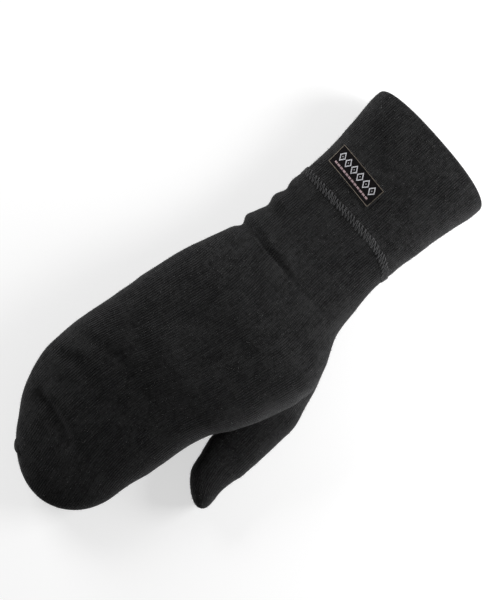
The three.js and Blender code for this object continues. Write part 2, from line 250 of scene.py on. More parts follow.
def unit(vectors):
    # Each vector divided by its length
    return vectors / np.maximum(np.linalg.norm(vectors, axis=-1, keepdims=True), 1e-9)


def squareTo(ahead, vectors):
    # The vectors without their part along ahead, which has length 1, brought to length 1
    return unit(vectors - ahead * (vectors * ahead).sum(-1, keepdims=True))


def walkedAlong(lines):
    # The lengths of the steps from point to point added up, 0 at the first point
    steps = np.linalg.norm(np.diff(lines, axis=-2), axis=-1)
    return np.concatenate([np.zeros(steps.shape[:-1] + (1,)), np.cumsum(steps, axis=-1)], axis=-1)


def eased(share):
    # 3 s^2 - 2 s^3: from 0 to 1, level at both ends
    return share * share * (3 - 2 * share)


def evenAngles(point, sizes):
    # Angles that step evenly along one section, with counts of their own above and below
    count = 2880
    dense = np.linspace(0, 2 * math.pi, count + 1)
    walked = walkedAlong(point(sizes["evenAt"], dense))
    half = walked[count // 2]
    above = np.interp(np.linspace(0, half, sizes["above"] + 1)[:-1], walked, dense)
    below = np.interp(np.linspace(half, walked[-1], sizes["below"] + 1)[:-1], walked, dense)
    return np.concatenate([above, below])


def roundedRings(start, sizes, tip, radius):
    # y of each ring: evenly up to the rounding, then a quarter circle in even turns
    turns = np.arange(1, sizes["tipRings"]) / sizes["tipRings"] * math.pi / 2
    straight = np.linspace(start, tip - radius, sizes["rings"])
    return np.concatenate([straight, tip - radius + radius * np.sin(turns)])[:, None]


def latticeNoise(points, size, seed):
    # Random values from -1 to 1 on a cubic lattice, blended by eased shares between its corners
    cells = 24
    values = np.random.default_rng(seed).uniform(-1, 1, (cells, cells, cells))
    place = points / size + 7.3
    low = np.floor(place).astype(int)
    share = eased(place - low)
    total = np.zeros(points.shape[:-1])
    for corner in np.ndindex(2, 2, 2):
        weight = np.where(corner, share, 1 - share)
        i, j, k = np.moveaxis((low + corner) % cells, -1, 0)
        total += weight[..., 0] * weight[..., 1] * weight[..., 2] * values[i, j, k]
    return total


def surfaceNormals(grid, top):
    # Cross product of the steps round and along the grid, which closes round; the sign is the one
    # that points up halfway along column top
    about = np.roll(grid, -1, axis=1) - np.roll(grid, 1, axis=1)
    normal = unit(np.cross(about, np.gradient(grid, axis=0)))
    return normal * np.sign(normal[len(grid) // 2, top, 2])


# x and y that bring a point of the tables to the frame
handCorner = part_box("hand")[1]
farEdge = bodyPoint(np.linspace(0, body["handLength"], 2000), 0.0)[..., 0].max()
toFrame = np.array([handCorner[0] * 1000 - farEdge, handCorner[1] * 1000 - body["handLength"], 0])
print("placed at", toFrame.round(3).tolist())


def stitchMap(grid, sizes):
    # Stitch counts: round from the top column by arc length, and along by that column's arc
    about = walkedAlong(np.concatenate([grid, grid[:, :1]], axis=1))
    about -= about[:, sizes["top"]:sizes["top"] + 1]
    along = walkedAlong(grid[:, sizes["top"]])[:, None] / sizes["course"]
    return np.stack([about / sizes["wale"], np.broadcast_to(along, about.shape)], axis=-1)


def evenMap(grid, across, along):
    # Map values that grow by across from column to column and by along from ring to ring
    r, c = np.indices((grid.shape[0] + 1, grid.shape[1] + 1))
    return np.stack([c * across, r * along], axis=-1)


def ringMesh(grid, uv, looped):
    # Cells of a grid that closes round, and along too where looped, with the map values at their
    # corners; the map goes one step past the grid's last ring and column
    rings, around = grid.shape[:2]
    r, c = np.indices((rings if looped else rings - 1, around)).reshape(2, -1)
    nextR, nextC = (r + 1) % rings, (c + 1) % around
    faces = np.stack([r * around + c, r * around + nextC, nextR * around + nextC, nextR * around + c], -1)
    return faces, np.stack([uv[r, c], uv[r, c + 1], uv[r + 1, c + 1], uv[r + 1, c]], axis=1)


def placed(name, data):
    made = bpy.data.objects.new(name, data)
    bpy.context.scene.collection.objects.link(made)
    return made


def meshPiece(name, points, groups, cornerUv):
    # A smooth mesh from points in the tables' mm and groups of faces with one map value a corner
    flat = (points + toFrame) / 1000
    volume = 0.0  # six times the signed volume: below 0 when the faces look inwards
    for faces in groups:
        for i in range(1, faces.shape[1] - 1):
            a, b, c = (flat[faces[:, j]] for j in (0, i, i + 1))
            volume += (a * np.cross(b, c)).sum()
    if volume < 0:
        groups = [faces[:, ::-1] for faces in groups]
        cornerUv = [uv[:, ::-1] for uv in cornerUv]
    mesh = bpy.data.meshes.new(name)
    mesh.from_pydata(flat.tolist(), [], [face for faces in groups for face in faces.tolist()])
    layer = mesh.uv_layers.new(name="stitches")
    layer.data.foreach_set("uv", np.concatenate([uv.reshape(-1) for uv in cornerUv]))
    mesh.shade_smooth()
    mesh.update()
    piece = placed(name, mesh)
    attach(piece, "root")
    return piece


def clothShell(name, sizes, outer, inner, normals, lift, keep, tips):
    # Outer and inner grids of one layout, moved by the lift, which fades at the tip, and joined by
    # a wall along every open edge. A cell is left out where keep is false; tips are the two points
    # that close the far end.
    fade = sizes["tipFade"]
    lift[-fade:] *= np.linspace(1, 0.2, fade)[:, None]
    outer, inner = lifted(outer, normals, lift, 0.0), lifted(inner, normals, lift, sizes["wall"])
    uv = stitchMap(outer, sizes)
    rings, around = outer.shape[:2]
    wide, count = around + 1, rings * around + 1  # the map's columns; a grid's points with its tip
    r, c = np.indices((rings - 1, around))
    start = r * wide + c
    cells = np.stack([start, start + 1, start + wide + 1, start + wide], axis=-1)[keep]
    last = (rings - 1) * wide + np.arange(around)
    fans = np.stack([last, last + 1, np.full(around, rings * wide)], axis=-1)

    def vertexOf(index):
        return np.where(index == rings * wide, rings * around,
                        (index // wide) * around + (index % wide) % around)

    edges = np.concatenate([np.stack([faces[:, i], faces[:, (i + 1) % sides]], axis=-1)
                            for faces, sides in ((cells, 4), (fans, 3)) for i in range(sides)])
    ends = vertexOf(edges)
    forward, backward = ends[:, 0] * count + ends[:, 1], ends[:, 1] * count + ends[:, 0]
    near, far = edges[~np.isin(forward, backward)].T
    points = np.concatenate([outer.reshape(-1, 3), tips[0][None], inner.reshape(-1, 3), tips[1][None]])
    flat = np.concatenate([uv.reshape(-1, 2), uv[-1].mean(axis=0)[None]])
    wall = np.stack([vertexOf(far), vertexOf(near), vertexOf(near) + count, vertexOf(far) + count], axis=-1)
    groups, maps = [], []
    for faces in (cells, fans):
        groups += [vertexOf(faces), (vertexOf(faces) + count)[:, ::-1]]
        maps += [flat[faces], flat[faces][:, ::-1]]
    groups.insert(2, wall)
    maps.insert(2, np.stack([flat[far], flat[near], flat[near] + 0.9, flat[far] + 0.9], axis=1))
    used = np.unique(np.concatenate([faces.reshape(-1) for faces in groups]))
    renumber = np.zeros(len(points), int)
    renumber[used] = np.arange(len(used))
    return meshPiece(name, points[used], [renumber[faces] for faces in groups], maps), outer


def swell(width, away):
    # How far two surfaces swell where they meet: (w/4)(1 - |d|/w)^2 for a blend of width w
    return width / 4 * np.clip(1 - np.abs(away) / width, 0, 1) ** 2


# Creases that the cloth shows on the back: width, depth, height and width of the roll of cloth
# beside it, all in mm, then a line of points in the frame's mm with the crease's strength there
creases = {
    "nearTip": (3.8, 3.0, 1.2, 5.0, [
        (54, 116.5, 0), (46, 118, 0.9), (38.6, 117.9, 1), (30, 119.6, 1), (21.4, 122, 0.85),
        (10, 126, 0)]),
    "underTip": (3.0, 0.45, 0.4, 5.0, [(60, 106, 0), (50, 104, 1), (40, 102, 0.6), (26, 106, 0)]),
    "middleJoint": (2.9, 1.25, 0.95, 5.5, [
        (64, 94, 0), (54, 89.5, 1), (44, 87.8, 0.6), (33, 88.6, 0.8), (26, 91.2, 0.3), (16, 97, 0)]),
    "lowJoint": (3.4, 1.05, 0.8, 6.5, [
        (60, 74, 0), (51, 71.5, 0.9), (40, 68.8, 0.8), (24, 66.8, 1), (8, 71, 0.6), (-8, 72, 0)]),
    "knuckle": (6.0, 0.5, 0.6, 8.0, [
        (60, 45, 0), (44, 47, 0.7), (25, 52, 1), (4, 56, 0.6), (-18, 61, 0)]),
    "wristMain": (1.15, 1.75, 1.0, 3.2, [
        (45, -42, 0), (40, -42.3, 1), (33, -42.1, 1.25), (25.8, -41.3, 1.1), (16, -40.7, 0.95),
        (7.2, -40.4, 0.8), (-4, -39.5, 0.25), (-18, -40.3, 0.15), (-34, -39.5, 0)]),
    "wristUpper": (1.8, 0.5, 0.4, 4.0, [
        (49, -28.5, 0), (42, -27.4, 0.9), (34, -26.8, 0.6), (20, -25.4, 0.4), (10, -24, 0)]),
    "wristLower": (1.8, 0.5, 0.4, 3.6, [
        (47, -61, 0), (41, -59.5, 0.9), (32, -58, 0.4), (18, -57.5, 0.2), (8, -58, 0)]),
    "wristEdge": (1.8, 0.45, 0.4, 3.4, [(46, -74, 0), (40, -73, 0.8), (32, -71, 0.4), (20, -71, 0)]),
    "heel": (3.0, 0.25, 0.3, 5.0, [(-31, -33, 0), (-34, -22, 0.8), (-41, -12, 0.6), (-48, 4, 0)]),
}


def lineThrough(points, count):
    # A smooth curve through points, by the same cubic as the tables, at even parameter steps
    points = np.array(points, float)
    rows = np.column_stack([np.arange(len(points)), points])
    return np.stack(throughRows(rows, np.linspace(0, len(points) - 1, count)), axis=-1)


def creaseLift(points, normals):
    # Sum over the creases: a groove -depth exp(-(d/width)^2) and a roll beside it towards the
    # cuff, both times the line's strength; d is the distance in plan. None underneath
    place = points[..., :2] + toFrame[:2]
    total = np.zeros(place.shape[:-1])
    for width, depth, roll, rollWidth, knots in creases.values():
        line, strength = np.split(lineThrough(knots, 64), [2], axis=1)
        reach = 4 * rollWidth + width
        low, high = line.min(axis=0) - reach, line.max(axis=0) + reach
        near = ((place > low) & (place < high)).all(axis=-1)
        nearest = np.linalg.norm(place[near][:, None] - line, axis=-1).argmin(axis=1)
        here = place[near] - line[nearest]
        d = np.linalg.norm(here, axis=-1)
        tangent = np.gradient(line, axis=0)[nearest]
        turn = tangent[:, 0] * here[:, 1] - tangent[:, 1] * here[:, 0]
        forward = np.sign(turn) * np.sign(line[-1, 0] - line[0, 0])
        away = (np.where(forward < 0, -d, d) + 1.35 * rollWidth) / rollWidth
        strength = strength[nearest, 0].clip(0)
        total[near] += strength * (roll * np.exp(-away**2) - depth * np.exp(-(d / width) ** 2))
    return total * np.clip(normals[..., 2] * 3, 0, 1)


# Undulations of loose cloth. size, amount: mm
slack = {"wideSize": 27, "wideAmount": 0.55, "fineSize": 11, "fineAmount": 0.22, "seed": 11}


def slackLift(points):
    # Two lattice noises added, each longer in one direction: wide ones and fine ones
    wide = latticeNoise(points * [1, 1.3, 1], slack["wideSize"], slack["seed"])
    fine = latticeNoise(points * [0.7, 1.4, 1], slack["fineSize"], slack["seed"] + 1)
    return slack["wideAmount"] * wide + slack["fineAmount"] * fine


def lifted(grid, normals, amount, lowest):
    # The grid moved out by amount, which grows from 0 over the lowest 5 mm, and kept above lowest
    ease = np.clip(grid[..., 2:] / 5, 0, 1)
    moved = grid + normals * amount[..., None] * ease
    moved[..., 2] = np.maximum(moved[..., 2], np.minimum(grid[..., 2], lowest))
    return moved


# Hand. evenAt: the section along which the columns are evened; top: the column that stitches are
# counted from; hidden, bare: how far out of the thumb the cloth is kept, and grows fibres, in mm
hand = {"wall": 2.0, "above": 150, "below": 66, "rings": 172, "tipRings": 36, "tipFade": 6,
        "evenAt": 118, "top": 72, "wale": 1.45, "course": 1.05, "hidden": -3.2, "bare": 0.5,
        "blendAtWrist": 12.5, "blendAtFork": 2.0, "blendFrom": 98, "blendOver": 34}


def forkBlend(y):
    # Width of the blend between hand and thumb: wide towards the wrist, eased to tight at the fork
    share = eased(np.clip((y - hand["blendFrom"]) / hand["blendOver"], 0, 1))
    return hand["blendAtWrist"] + (hand["blendAtFork"] - hand["blendAtWrist"]) * share


def buildHand():
    # The body's rings from the wrist seam to the tip, which lean with the seam and straighten out;
    # lifted where it meets the thumb, at the creases and by the undulations
    angles = evenAngles(bodyPoint, hand)
    length, wall = body["handLength"], hand["wall"]
    seam = (seamLine(angles) + body["gap"] / 2)[None]

    def skin(inset):
        y = roundedRings(0, hand, length - inset, body["tipRound"] - inset)
        return bodyPoint(y + seam * (1 - y / length), angles[None], inset)

    outer, inner = skin(0.0), skin(wall)
    normals = surfaceNormals(outer, hand["top"])
    toEnd = np.clip((outer[..., 1] - 2) / 12, 0, 1)
    lift = swell(forkBlend(outer[..., 1]), outOfThumb(outer))
    lift += creaseLift(outer, normals) + slackLift(outer) * toEnd
    beside = np.roll(outer, -1, 1)
    away = outOfThumb((outer[:-1] + outer[1:] + beside[:-1] + beside[1:]) / 4)
    tips = bodyPoint(length, 0.0), bodyPoint(length - wall, 0.0, wall)
    keep = away > hand["hidden"]
    piece, moved = clothShell("handKnit", hand, outer, inner, normals, lift, keep, tips)
    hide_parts("hand")
    return piece, moved, normals, away > hand["bare"]


# Thumb. tuck: how far its root is drawn into the hand, in mm; slack: its share of the undulations
thumb = {"wall": 1.9, "above": 96, "below": 48, "rings": 118, "tipRings": 26, "tipFade": 5,
         "evenAt": 140, "top": 48, "wale": 1.45, "course": 1.05, "hidden": -1.3, "bare": 0.8,
         "tuck": 6.0, "tuckLength": 16.0, "slack": 0.5}


def buildThumb():
    # The thumb's rings from root to tip, moved into the hand by the square of the way to the root,
    # lifted where it meets the hand and by a share of the undulations
    angles = evenAngles(thumbPoint, thumb)
    wall = thumb["wall"]

    def skin(inset):
        y = roundedRings(thumbStart + 1, thumb, thumbEnd - inset, thumbSize["round"] - inset)
        points = thumbPoint(y, angles[None], inset)
        points[..., 0] += thumb["tuck"] * np.clip(1 - (y - thumbStart) / thumb["tuckLength"], 0, 1) ** 2
        return points

    outer, inner = skin(0.0), skin(wall)
    normals = surfaceNormals(outer, thumb["top"])
    away = outOfBody(outer)
    lift = swell(forkBlend(outer[..., 1]), away) + thumb["slack"] * slackLift(outer)
    clear = away > thumb["hidden"]
    beside = np.roll(clear, -1, 1)
    keep = clear[:-1] | clear[1:] | beside[:-1] | beside[1:]
    tips = thumbPoint(thumbEnd, 0.0), thumbPoint(thumbEnd - wall, 0.0, wall)
    piece, moved = clothShell("thumbKnit", thumb, outer, inner, normals, lift, keep, tips)
    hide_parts("thumb")
    shown = away > thumb["bare"]
    return piece, moved, normals, shown[:-1] & shown[1:]


# Cuff: the knit doubled, folded at the rim. Its undulations start easeFrom mm from the wrist seam,
# grow over easeOver mm and fade over as many before the rim
cuff = {"wall": 3.0, "above": 132, "below": 66, "outerRings": 78, "foldRings": 8, "innerRings": 50,
        "evenAt": -40, "top": 66, "wale": 1.4, "course": 1.0,
        "easeLength": 66, "easeFrom": 5, "easeOver": 9}


def cuffEase(share):
    # A straight rise from the seam and a straight fall to the rim, 1 between them; share is of the
    # way from the wrist seam to the rim
    fromSeam, toRim = share * cuff["easeLength"] - cuff["easeFrom"], (1 - share) * cuff["easeLength"]
    return np.clip(np.minimum(fromSeam, toRim) / cuff["easeOver"], 0, 1)


def buildCuff():
    # One loop of rings: along the outside to the rim, round a half circle and back along the inside
    angles = evenAngles(bodyPoint, cuff)[None]
    wall = cuff["wall"]
    seam = seamLine(angles) - body["gap"] / 2
    rim = rimLine(angles) + wall / 2
    shares = np.linspace(0, 1, cuff["outerRings"])[:, None]
    outer = bodyPoint(seam + (rim - seam) * shares, angles)
    normals = surfaceNormals(outer, cuff["top"])
    lift = (slackLift(outer) + creaseLift(outer, normals)) * cuffEase(shares)
    turns = np.linspace(0, math.pi, cuff["foldRings"] + 2)[1:-1, None]
    fold = bodyPoint(rim - wall / 2 * np.sin(turns), angles, wall / 2 * (1 - np.cos(turns)))
    back = np.linspace(1, 0, cuff["innerRings"])[:, None]
    inner = bodyPoint(seam + (rim - seam) * back, angles, wall)
    moved = lifted(outer, normals, lift, 0.0)
    loop = np.concatenate([moved, fold, inner])
    faces, corners = ringMesh(loop, stitchMap(np.concatenate([loop, loop[:1]]), cuff), True)
    piece = meshPiece("cuffKnit", loop.reshape(-1, 3), [faces], [corners])
    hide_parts("cuff")
    return piece, moved, normals, 1  # fibres grow on the whole of it


def tubes(name, path, ahead, above, radius, sides, closed):
    # Round threads: a circle carried along each path, square to ahead, its first point above
    strands, length = path.shape[:2]
    ahead = unit(ahead)
    out = squareTo(ahead, above)
    turn = np.arange(sides)[:, None] / sides * 2 * math.pi
    ring = np.cos(turn) * out[:, :, None] + np.sin(turn) * np.cross(ahead, out)[:, :, None]
    points = path[:, :, None] + ring * radius
    walked = walkedAlong(path)
    walked = np.concatenate([walked, walked[:, -1:] + 0.5], axis=1)[..., None]
    faces, corners = [], []
    for i in range(strands):
        uv = np.stack(np.broadcast_arrays(walked[i], np.arange(sides + 1) / sides), axis=-1)
        own, ownCorners = ringMesh(points[i], uv, closed)
        faces.append(own + i * length * sides)
        corners.append(ownCorners)
    groups, maps = [np.concatenate(faces)], [np.concatenate(corners)]
    if not closed:
        first, around = np.arange(strands)[:, None] * length, np.arange(sides)
        groups += [first * sides + around[::-1], (first + length - 1) * sides + around]
        maps += [np.zeros((strands, sides, 2))] * 2
    return meshPiece(name, points.reshape(-1, 3), groups, maps)


# Wrist seam: a low padded band and a zigzag thread over it. shift: how far it lies towards the
# fingers from the seam's own line; wave: in mm of its height and as a share of its width; teeth:
# zigzags; arch: half the width that the thread arches over; sway: how far its turns rise and sink;
# uneven: a share; lean: of a tooth's length; the rest in mm
wristSeam = {"width": 5.0, "shift": 1.2, "height": 0.16, "lift": 0.1, "wave": 0.06, "around": 320,
             "sides": 16, "teeth": 80, "reach": 2.2, "thread": 0.3, "threadLift": 0.16, "arch": 2.3,
             "sway": 0.12, "lean": 0.5, "samples": 18, "uneven": 0.34, "seed": 3}


def seamPath(share, offset, out):
    # A point beside the wrist seam: share of the way round by arc length, offset along the hand
    dense = np.linspace(0, 2 * math.pi, 4001)
    walked = walkedAlong(bodyPoint(seamLine(dense), dense))
    angle = np.interp((share % 1) * walked[-1], walked, dense)
    return bodyPoint(seamLine(angle) + offset + wristSeam["shift"], angle, -out)


def buildWristBand():
    # A drawn out half ellipse over a flat one, with slight waves in its height and its width
    share = np.linspace(0, 1, wristSeam["around"], endpoint=False)
    turn = np.linspace(0, 2 * math.pi, wristSeam["sides"], endpoint=False)
    across = drawnOut(np.cos(turn), 3.0) * wristSeam["width"] / 2
    rise = np.where(np.sin(turn) > 0, drawnOut(np.sin(turn), 2.4), 0.35 * np.sin(turn))
    wave = wristSeam["wave"] * np.sin(share * 2 * math.pi * wristSeam["teeth"])
    out = rise[:, None] * (wristSeam["height"] + wave[None]) + wristSeam["lift"]
    wider = 1 + wristSeam["wave"] * np.sin(share * 97)
    grid = seamPath(share[None], across[:, None] * wider[None], out)
    faces, corners = ringMesh(grid, evenMap(grid, 0.66, 0.6), True)
    band = meshPiece("wristBand", grid.reshape(-1, 3), [faces], [corners])
    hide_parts("wrist_seam")
    return band


def buildWristThread():
    # A triangle wave cut off at its turns, uneven from stitch to stitch, that lies highest over the
    # middle of the band; a cosine lifts its turns on the cuff's side and lowers the others
    teeth, reach = wristSeam["teeth"], wristSeam["reach"]
    samples = teeth * wristSeam["samples"]
    t = np.arange(samples) / samples
    step = (t * teeth) % 1
    own = np.random.default_rng(wristSeam["seed"]).uniform(-1, 1, (2, 2 * teeth))
    own = own[:, (t * 2 * teeth).astype(int)]
    zig = np.clip((1 - 2 * np.abs(2 * step - 1)) * 1.12, -1, 1) * reach * (1 + wristSeam["uneven"] * own[0])
    lean = wristSeam["lean"] * (1 + 0.5 * own[1]) * zig / reach / teeth
    arch = np.sqrt(np.clip(1 - (zig / wristSeam["arch"]) ** 2, 0, 1))
    height = wristSeam["threadLift"] + wristSeam["height"] * arch
    height += wristSeam["sway"] * np.cos(2 * math.pi * step)
    path = seamPath(t + lean, zig, height)[None]
    above = seamPath(t + lean, zig, height + 0.5)[None] - path
    ahead = np.roll(path, -1, 1) - np.roll(path, 1, 1)
    return tubes("wristThread1", path, ahead, above, wristSeam["thread"], 6, True)


# Label: a flat woven patch; a pale border line and a plain motif are in its weave. side, sweep: where
# it starts on the section, in degrees, and how many radians it may span; soft: the width of its
# rounded edge; low, lift: how far its underside and its edge lie out of the cloth; mm
label = {"length": 37.0, "height": 14.3, "thick": 0.62, "setback": 11.0, "slant": 2.0, "side": 33.0,
         "sweep": 2.4, "soft": 0.7, "low": 0.05, "lift": 0.36, "sag": 0.08, "around": 150, "across": 60,
         "stitchEvery": 0.95, "stitchLength": 0.95, "stitchSlant": 0.3, "stitchThread": 0.13}


def labelGrid(lengths, heights, out):
    # A point of the label: length and height shares from its middle, height out of the cloth,
    # which it follows as the cuff's undulations lift it
    middle = -label["setback"] - label["height"] / 2
    dense = math.radians(label["side"]) + np.linspace(0, label["sweep"], 4000)
    walked = walkedAlong(bodyPoint(middle, dense))
    angle = np.interp((lengths + 0.5) * label["length"], walked, dense)
    y = middle + heights * label["height"] + label["slant"] * lengths
    under = bodyPoint(y, angle)
    seam, rim = seamLine(angle) - body["gap"] / 2, rimLine(angle) + cuff["wall"] / 2
    out = out + slackLift(under) * cuffEase((y - seam) / (rim - seam))
    return bodyPoint(y, angle, -out)


def buildLabel():
    # A pillow over a grid: its thickness falls off by a quarter circle at the edges, and it sags a
    # little by a sine each way
    u = np.linspace(-0.5, 0.5, label["around"])[:, None]
    v = np.linspace(-0.5, 0.5, label["across"])[None]
    inX, inY = (0.5 - np.abs(u)) * label["length"], (0.5 - np.abs(v)) * label["height"]
    edge = np.minimum(np.minimum(inX, inY) / label["soft"], 1)
    rise = np.sqrt(np.clip(1 - (1 - edge) ** 2, 0, 1))
    sag = label["sag"] * np.sin(u * 9 + 1) * np.cos(v * 5)
    top = labelGrid(u, v, label["lift"] + label["thick"] * (0.25 + 0.75 * rise) + sag)
    under = labelGrid(u, v, label["low"])
    rows, columns = top.shape[:2]
    index = np.arange(rows * columns).reshape(rows, columns)
    cells = np.stack([index[:-1, :-1], index[1:, :-1], index[1:, 1:], index[:-1, 1:]], -1).reshape(-1, 4)
    rim = np.concatenate([index[:-1, 0], index[-1, :-1], index[:0:-1, -1], index[0, :0:-1]])
    after = np.roll(rim, -1)
    groups = [cells, (cells + index.size)[:, ::-1],
              np.stack([rim, rim + index.size, after + index.size, after], -1)]
    flat = np.stack(np.broadcast_arrays(u * label["length"], v * label["height"]), -1).reshape(-1, 2)
    maps = [flat[cells], flat[cells][:, ::-1], np.stack([flat[rim], flat[rim], flat[after], flat[after]], 1)]
    points = np.concatenate([top.reshape(-1, 3), under.reshape(-1, 3)])
    patch = meshPiece("labelPatch", points, groups, maps)
    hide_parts("label")
    return patch


def buildLabelStitches():
    # Short slanted stitches over the label's edge, evenly spaced along its four sides, each the
    # upper part of a sine
    half = np.array([label["length"], label["height"]]) / 2
    sides = []
    for axis, sign in ((0, -1), (1, 1), (0, 1), (1, -1)):
        run = np.arange(-half[axis] + 0.4, half[axis] - 0.4, label["stitchEvery"])
        place, inward = np.zeros((2, len(run), 2))
        place[:, axis] = run
        place[:, 1 - axis] = sign * half[1 - axis]
        inward[:, 1 - axis] = -sign
        sides.append((place, inward, np.roll(inward, 1, axis=1)))
    place, inward, along = (np.concatenate(parts)[:, None] for parts in zip(*sides))
    t = np.linspace(0, 1, 7)[None, :, None]
    spot = place + inward * (label["stitchLength"] * t - 0.32) + along * label["stitchSlant"] * (t - 0.5)
    u, v = spot[..., 0] / label["length"], spot[..., 1] / label["height"]
    out = 0.34 + (label["thick"] + 0.16) * np.sin(math.pi * (0.12 + 0.78 * t[..., 0]))
    path = labelGrid(u, v, out)
    above = labelGrid(u, v, out + 0.4) - path
    return tubes("labelStitches", path, np.gradient(path, axis=1), above, label["stitchThread"], 5,
                 False)


# Seam end at the fingertip: a small rolled strip over the edge. lead: how many times longer its low
# side is; steepLow, steep: powers of its two sides; from, to: degrees; the rest in mm
tipSeam = {"setback": 9.5, "width": 1.9, "lead": 4.2, "thick": 0.95, "lift": 0.1, "sunk": 0.5,
           "ripple": 0.1, "steepLow": 1.6, "steep": 0.7, "from": -34.0, "to": 38.0,
           "rings": 60, "sides": 20}


def buildTipSeam():
    # A flattened tube over the fingertip's edge, thinned to both ends, with a long low side
    # towards the cuff
    angles = np.radians(np.linspace(tipSeam["from"], tipSeam["to"], tipSeam["rings"]))[:, None]
    turn = np.linspace(0, 2 * math.pi, tipSeam["sides"], endpoint=False)[None]
    thin = np.sqrt(np.clip(1 - np.linspace(-1, 1, tipSeam["rings"]) ** 2, 0.02, 1))[:, None]
    ripple = 1 + tipSeam["ripple"] * np.sin(np.linspace(0, 60, tipSeam["rings"]))[:, None]
    lowSide = np.cos(turn) < 0
    aside = np.cos(turn) * np.where(lowSide, tipSeam["lead"], 1) * tipSeam["width"] / 2
    y = body["handLength"] - tipSeam["setback"] + aside * thin
    rise = np.abs(np.sin(turn)) ** np.where(lowSide, tipSeam["steepLow"], tipSeam["steep"])
    rise = np.maximum(rise * np.sign(np.sin(turn)), -0.3)
    out = tipSeam["sunk"] * (thin - 1) + tipSeam["lift"] + tipSeam["thick"] * thin * ripple * rise
    grid = bodyPoint(y, angles, -out)
    rings, around = grid.shape[:2]
    faces, corners = ringMesh(grid, evenMap(grid, 0.27, 0.29), False)
    first, last = np.arange(around)[None, ::-1], (rings - 1) * around + np.arange(around)[None]
    ends = [np.zeros((1, around, 2))] * 2
    piece = meshPiece("tipNub", grid.reshape(-1, 3), [faces, first, last], [corners] + ends)
    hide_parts("tip_seam")
    return piece


# Loose fibres: how many on each piece, their sizes in mm, the sine of their slope and their bend
fuzz = {"hand": 15000, "thumb": 3600, "cuff": 6500, "shortest": 0.5, "longest": 2.0, "thick": 0.045,
        "flattest": 0.15, "steepest": 0.95, "bend": 0.5, "seed": 5}


def buildFuzz(name, grid, normals, shown, count, seed, slotName):
    # Three-sided spindles: three points at the root, three halfway and one at the tip, bent by the
    # square of the way along; roots are spread by the cells' areas, with none near the floor
    rng = np.random.default_rng(seed)
    closed = np.concatenate([grid, grid[:, :1]], axis=1)
    a, b, d = closed[:-1, :-1], closed[:-1, 1:], closed[1:, :-1]
    area = np.linalg.norm(np.cross(b - a, d - a), axis=-1) * shown
    area = (area * np.clip((grid[:-1, :, 2] - 0.8) / 2, 0, 1)).reshape(-1)
    cell = rng.choice(len(area), count, p=area / area.sum())
    p, q = rng.random((2, count, 1))
    a, b, d, normal = (part.reshape(-1, 3)[cell] for part in (a, b, d, normals[:-1]))
    root = a + (b - a) * p + (d - a) * q
    wander = squareTo(normal, rng.normal(size=(count, 3)))
    rise = rng.uniform(fuzz["flattest"], fuzz["steepest"], (count, 1))
    ahead = normal * rise + wander * np.sqrt(1 - rise**2)
    length = fuzz["shortest"] + (fuzz["longest"] - fuzz["shortest"]) * rng.random((count, 1)) ** 3
    bend = np.cross(ahead, wander + 0.3 * rng.normal(size=(count, 3))) * length
    bend = bend * rng.uniform(-fuzz["bend"], fuzz["bend"], (count, 1))
    side = unit(np.cross(ahead, normal + 0.01))
    up = np.cross(side, ahead)
    turn = np.arange(3)[:, None] / 3 * 2 * math.pi
    ring = np.cos(turn) * side[:, None] + np.sin(turn) * up[:, None]
    ring = ring * (fuzz["thick"] * rng.uniform(0.7, 1.2, (count, 1, 1)))
    middle, end = root + ahead * length * 0.5 + bend * 0.25, root + ahead * length + bend
    points = np.concatenate([(root - normal * 0.1)[:, None] + ring, middle[:, None] + ring * 0.8,
                             end[:, None]], axis=1)
    points[..., 2] = np.maximum(points[..., 2], 0.02)
    base = np.arange(count)[:, None] * 7
    quads = np.concatenate([base + [k, (k + 1) % 3, 3 + (k + 1) % 3, 3 + k] for k in range(3)])
    fans = np.concatenate([base + [3 + k, 3 + (k + 1) % 3, 6] for k in range(3)] + [base + [2, 1, 0]])
    maps = [np.zeros(faces.shape + (2,)) for faces in (quads, fans)]
    return meshPiece(name, points.reshape(-1, 3), [quads, fans], maps)


